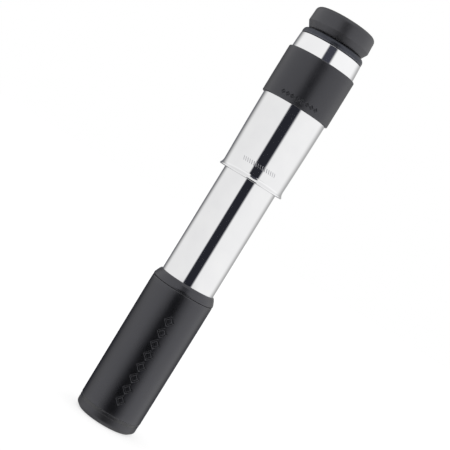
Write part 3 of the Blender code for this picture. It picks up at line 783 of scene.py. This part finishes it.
piston = turned("piston_cup", [
    (piston_r, piston_top, 0.3), (piston_r, GROOVE_TOP, 0.1), (SEAL_ROOT_R, GROOVE_TOP, 0.1),
    (SEAL_ROOT_R, GROOVE_LOW, 0.1), (piston_r, GROOVE_LOW, 0.1), (piston_r, LAND_LOW, 0.2),
    (SPIGOT_R, LAND_LOW, 0.1), (SPIGOT_R, piston_low, 0.4), (SCREW_HOLE_R, piston_low, 0.1),
    (SCREW_HOLE_R, RECESS_FLOOR, 0.1), (RECESS_R, RECESS_FLOOR, 0.3), (RECESS_R, piston_top, 0.4)],
    angles=FINE, carve=notched_lip)
stands_for(piston, "piston", PLASTIC)

# %% [markdown]
# ## The socket screw
#
# One screw holds the piston to its plug. Its head has a hexagon socket, and its shank a fine thread, which
# is the same wave as the nozzle's with a shorter pitch.

# %% The socket screw
screw_low, screw_top, screw_r = reach("piston_screw")
SOCKET_FLOOR, SOCKET_R, HALF_FLATS = screw_top - 1.4, 1.7, 1.45
SHANK_R, SCREW_PITCH = 1.9, 0.7


def socketed(radius, height, angle):
    """The socket's rows stand at the hexagon's wall, and the shank's carry a fine thread."""
    wall = (radius < SOCKET_R + 0.05) & (radius > 0.6) & (height > SOCKET_FLOOR - 0.01)
    wave = 0.5 - 0.5 * np.cos(2 * math.pi * (height / SCREW_PITCH - angle / (2 * math.pi)))
    shank = (np.abs(radius - SHANK_R) < 0.01) & (height < RECESS_FLOOR - 1) & (height > screw_low + 0.5)
    return np.where(wall, hexagon(angle, HALF_FLATS) * radius / SOCKET_R, radius) - 0.22 * wave * shank


screw = turned("socket_screw", [
    (0, SOCKET_FLOOR), (SOCKET_R, SOCKET_FLOOR), (SOCKET_R, screw_top), (screw_r, screw_top, 0.4),
    (screw_r, RECESS_FLOOR + 0.1, 0.1), (SHANK_R, RECESS_FLOOR + 0.1),
    *((SHANK_R, z) for z in np.arange(RECESS_FLOOR - 0.5, screw_low + 0.4, -0.1)), (SHANK_R, screw_low, 0.3),
    (0, screw_low)], angles=np.linspace(0, 2 * math.pi, 96, endpoint=False), carve=socketed)
stands_for(screw, "piston_screw", STEEL)

# %% [markdown]
# ## The guide
#
# A plastic bush in the cylinder's mouth keeps the plunger in the middle. Four slots in its bore let the air
# in and out behind the piston.

# %% The guide
guide_low, guide_top, guide_r = reach("mouth_guide")
GUIDE_BORE_R = TUBE_R + FIT


def slotted_bore(radius, height, angle):
    """The radius, or more where one of four slots runs up the bore."""
    bore = radius < GUIDE_BORE_R + 0.25
    return np.where(bore, np.maximum(radius, TUBE_R + 0.1 + notch_depth(angle, TUBE_R, 0.7)), radius)


guide = turned("slotted_guide", [
    (guide_r, guide_top, 0.2), (guide_r, guide_low, 0.2), (GUIDE_BORE_R, guide_low, 0.1),
    (GUIDE_BORE_R, guide_top, 0.1)], angles=FINE, carve=slotted_bore)
stands_for(guide, "mouth_guide", PLASTIC)

# %% [markdown]
# ## The check valve
#
# A steel ball closes the seat in the boss, and a light coil spring holds it there. The ball is a half
# circle carried round the axis. The spring is a small circle carried along a helix: at each step the circle
# stands on the way out from the axis and on the way that is square to that and to the wire. The spring
# shortens as the ball lifts.

# %% Ball and spring
ball_low, ball_top, ball_r = reach("valve_ball")
arc = np.linspace(math.pi / 2, -math.pi / 2, 41)
ball_points = np.stack([ball_r * np.cos(arc), (ball_low + ball_top) / 2 + ball_r * np.sin(arc)], axis=1)
ball_points[[0, -1], 0] = 0
stands_for(plainly_turned("steel_ball", ball_points, EVEN[::2], False), "valve_ball", STEEL)


def wire_coil(name, low, high, coil_r, wire_r, turns, steps=220, sides=14):
    """A wire bent into a helix: the middle of the wire is (R cos(a), R sin(a), z), z rising evenly with a.
    The first and last rows are points, so the wire's ends are closed."""
    a = np.linspace(0, 2 * math.pi * turns, steps)
    z = np.linspace(low + wire_r, high - wire_r, steps)
    middle = np.stack([coil_r * np.cos(a), coil_r * np.sin(a), z], axis=1)
    outwards = np.stack([np.cos(a), np.sin(a), 0 * a], axis=1)
    ahead = np.gradient(middle, axis=0)
    ahead /= np.linalg.norm(ahead, axis=1, keepdims=True)
    across = np.cross(ahead, outwards)
    t = np.linspace(0, 2 * math.pi, sides, endpoint=False)[None, :, None]
    size = np.full(steps, wire_r)
    size[[0, -1]] = 0
    size[[1, -2]] = wire_r * 0.8
    section = np.cos(t) * outwards[:, None] + np.sin(t) * across[:, None]
    grid = middle[:, None] + size[:, None, None] * section
    return closed_mesh(name, grid, False, (True, True), {"edge": np.zeros(grid.shape[:2])})


spring_low, spring_top, _ = reach("valve_spring")
spring = wire_coil("coil_spring", spring_low, spring_top, 1.5, 0.2, 2.5)
stands_for(spring, "valve_spring", STEEL)
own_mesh(spring)

# %% [markdown]
# The drilled plate above the spring is already the right shape, so the CAD's own solid stays, and only gets
# its brass. The gasket below the washer is squeezed when the nut is done up.

# %% Brass for the plate, and the gasket's own mesh
plate = frame["nodes"]["valve_plate"]
plate.data.materials.clear()
plate.data.materials.append(BRASS)
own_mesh(gasket)

# %% [markdown]
# ## The chuck
#
# The nut screws down the nozzle and squeezes the gasket through a thin washer. Its flutes give the fingers
# a hold. They could be cut one by one with an array of cutters, but here the radius simply follows a cosine
# with 18 waves round the nut, and the wave fades out at the chamfers at both ends.

# %% Washer and fluted nut
washer_low, washer_top, washer_r = reach("thrust_washer")
WASHER_BORE_R = 3.5
washer = turned("thrust_ring", [
    (washer_r, washer_top, 0.12), (washer_r, washer_low, 0.12), (WASHER_BORE_R, washer_low, 0.12),
    (WASHER_BORE_R, washer_top, 0.12)])
stands_for(washer, "thrust_washer", STEEL)

nut_low, nut_top, nut_r = reach("chuck_nut")
NUT_BORE_R, NUT_COLLAR_R, NUT_CEILING, FLUTES = 3.5, POCKET_R - 0.2, nut_top - 1.8, 18
PRESS_FACE = washer_top + FIT
RING_LOW, RING_R = nut_top - 0.25, NUT_BORE_R + 2.2  # a fine groove turned in the nut's face


def fluted(radius, height, angle):
    """The radius, less a cosine wave that is deepest half way up the nut's side."""
    fade = smooth_step((height - nut_low - 0.5) / 1.2) * smooth_step((nut_top - 0.9 - height) / 1.2)
    wave = 0.5 - 0.5 * np.cos(FLUTES * angle)
    return radius - 0.5 * np.maximum(wave * fade, 0) * (radius > nut_r - 0.05)


nut = turned("fluted_nut", [
    (nut_r, nut_top - 0.55, 0.3), *((nut_r, z) for z in np.arange(nut_top - 1.0, nut_low + 0.7, -0.3)),
    (nut_r, nut_low + 0.4, 0.3), (nut_r - 0.5, nut_low, 0.2), (NOZZLE_R + FIT, nut_low, 0.2),
    (NOZZLE_R + FIT, NUT_CEILING, 0.15), (NUT_COLLAR_R, NUT_CEILING, 0.1), (NUT_COLLAR_R, PRESS_FACE, 0.15),
    (NUT_BORE_R, PRESS_FACE, 0.15), (NUT_BORE_R, nut_top - 1.0, 0.2), (NUT_BORE_R + 1.0, nut_top, 0.2),
    (RING_R, nut_top, 0.1), (RING_R + 0.25, RING_LOW, 0.1), (RING_R + 0.6, RING_LOW, 0.1),
    (RING_R + 0.85, nut_top, 0.1), (nut_r - 0.6, nut_top, 0.2)], angles=FINE[::2], carve=fluted)
stands_for(nut, "chuck_nut", SATIN)

# %% [markdown]
# ## The dust cap
#
# A thick rubber cap keeps dirt out of the valve. Its top is slightly domed, which a parabola gives more
# evenly than one big arc, its lower edge is cut back at an angle so that a finger can get under it, and it
# is hollow to go over the nut.

# %% The cap
cap_low, cap_top, cap_r = reach("dust_cap")
CAP_EDGE, DOME_R, DOME_DROP = ring_top + 0.3, 15.2, 0.9
CHAMFER_TOP, CHAMFER_R, SPIGOT_OUTER_R = 224.3, 15.1, WELL_R - FIT
HOLLOW_R, HOLLOW_TOP = 9.9, 229.4
dome = np.linspace(0, DOME_R, 12)[1:-1]
cap = turned("rubber_cap", [
    (0, cap_top), *zip(dome, cap_top - DOME_DROP * (dome / DOME_R) ** 2), (16.68, cap_top - 1.25, 2.5),
    (cap_r - 0.02, CHAMFER_TOP, 0.5), (CHAMFER_R, CAP_EDGE, 0.25), (SPIGOT_OUTER_R, CAP_EDGE, 0.2),
    (SPIGOT_OUTER_R, cap_low, 0.4), (HOLLOW_R + 0.2, cap_low, 0.2), (HOLLOW_R, cap_low + 0.8, 0.3),
    (HOLLOW_R, HOLLOW_TOP, 0.6), (0, HOLLOW_TOP)])
stands_for(cap, "dust_cap", CAP_RUBBER)

# %% [markdown]
# ## A light tent
#
# Polished metal is a mirror, so what it shows is the room. Product pictures of such things are taken in a
# tent of white cloth with a dark slot at the front, where the lens looks in. That slot is the dark stripe
# down each tube, and two greyer bands at the back draw the dark lines along the tubes' sides. Area lights
# and cards could stand round the pump instead, but one wide cylinder with closed ends holds them all. Only
# reflections see it; the white world lights the rubber from all sides.

# %% The tent's shape
TENT_R, TENT_LOW, TENT_HIGH = 400.0, -700.0, 900.0
tent_corners = [(0, TENT_HIGH), (TENT_R, TENT_HIGH, 150), (TENT_R, TENT_LOW, 150), (0, TENT_LOW)]
tent = turned("light_tent", tent_corners, longest=100)

# %% [markdown]
# Its brightness depends on two numbers at each place: the angle from the front, and the height. A Map Range
# node with a smooth step turns an angle into a soft edge, and products of such steps make the slot and the
# bands.

# %% The tent's brightness
glow = bpy.data.materials.new("tent_cloth")
glow.use_nodes = True
glow.cycles.emission_sampling = "NONE"
tn, tl = glow.node_tree.nodes, glow.node_tree.links
tn.remove(tn["Principled BSDF"])
tent_place = tn.new("ShaderNodeSeparateXYZ")
tl.new(tn.new("ShaderNodeTexCoord").outputs["Object"], tent_place.inputs[0])


def reckon(operation, one, other=0.0):
    """A Math node of the tent's, on outputs or numbers."""
    return computed(tn, tl, operation, one, other)


def soft_edge(value, start, stop, low=0.0, high=1.0):
    """From low to high as value goes from start to stop, along an S-shaped curve."""
    return ranged(tn, tl, value, low, high, start, stop, "SMOOTHSTEP")


def product(*values):
    """All the values multiplied together."""
    return functools.reduce(lambda one, other: reckon("MULTIPLY", one, other), values)


def total(*values):
    """All the values added up."""
    return functools.reduce(lambda one, other: reckon("ADD", one, other), values)


forwards = product(tent_place.outputs["Y"], -1.0)
right = product(reckon("ARCTAN2", tent_place.outputs["X"], forwards), 180 / math.pi)
left, around = product(right, -1.0), reckon("ABSOLUTE", right)
height = tent_place.outputs["Z"]
print("On the tent, angles are in degrees from the front, and heights in metres")

# %% [markdown]
# The slot is narrower beside the collar and again beside the cap, where it is a little paler too, and high
# above the pump it ends in a point. Metal shows it as it is.

# %% The slot
SLOT_LEFT, SLOT_RIGHT = (12.5, 18.5), (15.5, 24.5)  # where each edge starts to brighten, and where it ends
high_up = soft_edge(height, 0.250, 0.278)
narrow = product(soft_edge(height, 0.208, 0.25), soft_edge(height, 0.262, 0.276, 6, 0))
tip = total(narrow, product(soft_edge(height, 0.42, 0.62), 20))
slot_left = soft_edge(total(left, tip, product(high_up, 5.5)), *SLOT_LEFT, 1, 0)
slot_right = soft_edge(total(right, tip), *SLOT_RIGHT, 1, 0)
darkness = reckon("SUBTRACT", 0.976, product(high_up, 0.035))
slot_dark = product(slot_left, slot_right, soft_edge(height, -0.62, -0.32), darkness)
print("The slot's darkest part is", SLOT_LEFT[0] + SLOT_RIGHT[0], "degrees wide")

# %% [markdown]
# Dark cloths, called flags, stand at both sides of the slot where the two rubber grips look: strong ones
# low down, and weak ones at the collar's height. Low down there are two more towards the back.

# %% The flags
FLAG_LEFT, FLAG_RIGHT = (4.0, 54.0), (16.0, 60.0)
low_band = product(soft_edge(height, -0.32, -0.1), soft_edge(height, 0.030, 0.050, 1, 0))
collar_band = product(soft_edge(height, 0.207, 0.218), soft_edge(height, 0.250, 0.260, 1, 0))
flags = total(low_band, product(collar_band, 0.2))
wide_dark = product(soft_edge(left, *FLAG_LEFT, 1, 0), soft_edge(right, *FLAG_RIGHT, 1, 0), flags)
low_back = total(soft_edge(left, 75, 150, 0, 0.86), soft_edge(right, 105, 150, 0, 0.72))
low_back = product(low_back, low_band, soft_edge(around, 152, 172, 1, 0))
print("The flags reach", FLAG_LEFT[1], "degrees to the left and", FLAG_RIGHT[1], "to the right")

# %% [markdown]
# The cloth itself is brighter on the right and beside the cap, a little dimmer above the pump and under the
# floor, and grey in two bands towards the back. Where it is nearly black it is also a little blue, as a
# dark room is.

# %% The cloth's light
side_light = total(soft_edge(right, -90, 90, 0.88, 0.97), product(high_up, 0.07),
                   soft_edge(height, 0.33, 0.45, 0, -0.14))
back = total(soft_edge(left, 112, 152, 0, 0.8), soft_edge(right, 110, 150, 0, 0.55))
back = product(back, soft_edge(around, 158, 179, 1, 0.4))
under = soft_edge(height, -0.36, -0.12, 0.3, 0)
level = side_light
for dark in (back, low_back, wide_dark, slot_dark, under):
    level = product(level, reckon("SUBTRACT", 1.0, dark))
DARK_TINT, CLOTH_WHITE = (0.9, 0.94, 1.25), (1.0, 1.0, 1.0)
emission = tn.new("ShaderNodeEmission")
tl.new(mixed(tn, tl, soft_edge(level, 0.02, 0.3), DARK_TINT, CLOTH_WHITE), emission.inputs["Color"])
tl.new(level, emission.inputs["Strength"])
tl.new(emission.outputs[0], tn["Material Output"].inputs["Surface"])
tent.data.materials.append(glow)
for way in ("camera", "diffuse", "transmission", "volume_scatter", "shadow"):
    setattr(tent, "visible_" + way, False)
print("Nodes in the tent's material:", len(tn))

# %% [markdown]
# ## Floor and world
#
# The floor is a plain pale disc that glows a little, so that it comes out as white as the background and
# keeps only a trace of a shadow at the foot. The world is plain white.

# %% Floor and world
floor = turned("floor", [(0, 0), (3000, 0, 0.5), (3000, -5), (0, -5)], longest=400)
floor_finish = bpy.data.materials.new("pale_floor")
floor_finish.use_nodes = True
floor_shader = floor_finish.node_tree.nodes["Principled BSDF"]
for socket, value in (("Base Color", (0.4, 0.4, 0.4, 1)), ("Roughness", 0.9), ("Specular IOR Level", 0.0),
                      ("Emission Color", (1, 1, 1, 1)), ("Emission Strength", 0.68)):
    floor_shader.inputs[socket].default_value = value
floor_finish.cycles.emission_sampling = "NONE"
floor.data.materials.append(floor_finish)
floor.visible_glossy = False

world = bpy.data.worlds.new("white_world")
world.use_nodes = True
background = world.node_tree.nodes["Background"]
background.inputs["Color"].default_value = (1, 1, 1, 1)
background.inputs["Strength"].default_value = 1.0
bpy.context.scene.world = world
bpy.context.scene.view_settings.view_transform = "Standard"

# %% [markdown]
# ## The camera
#
# The camera stands in front, a little above the middle of the pump, and is rolled to the left, so that the
# upright pump leans to the right in the render. The pump itself could lean instead, but then it would no
# longer stand on its foot.

# %% The camera
CAMERA_PLACE, CAMERA_AIM = Vector((0.0008, -0.620, 0.13595)), Vector((0.0008, 0.0, 0.1152))
CAMERA_ROLL = math.radians(31.56)
lens = bpy.data.cameras.new("camera")
lens.lens, lens.sensor_width = 99.2, 36.0
lens.dof.use_dof = False
camera = bpy.data.objects.new("camera", lens)
bpy.context.scene.collection.objects.link(camera)
camera.location = CAMERA_PLACE
camera.rotation_mode = "QUATERNION"
view_way = (CAMERA_AIM - CAMERA_PLACE).normalized()
camera.rotation_quaternion = Quaternion(view_way, -CAMERA_ROLL) @ view_way.to_track_quat("-Z", "Y")
bpy.context.scene.camera = camera
print(f"The camera looks from {(CAMERA_PLACE - CAMERA_AIM).length * 1000:.0f} mm away")

# %% [markdown]
# ## Done
#
# The last line counts the pieces that stand for a node of the CAD.

# %% Pieces, and the end
print("Pieces that stand for a node:", len(PIECES), "of", len(frame["nodes"]))
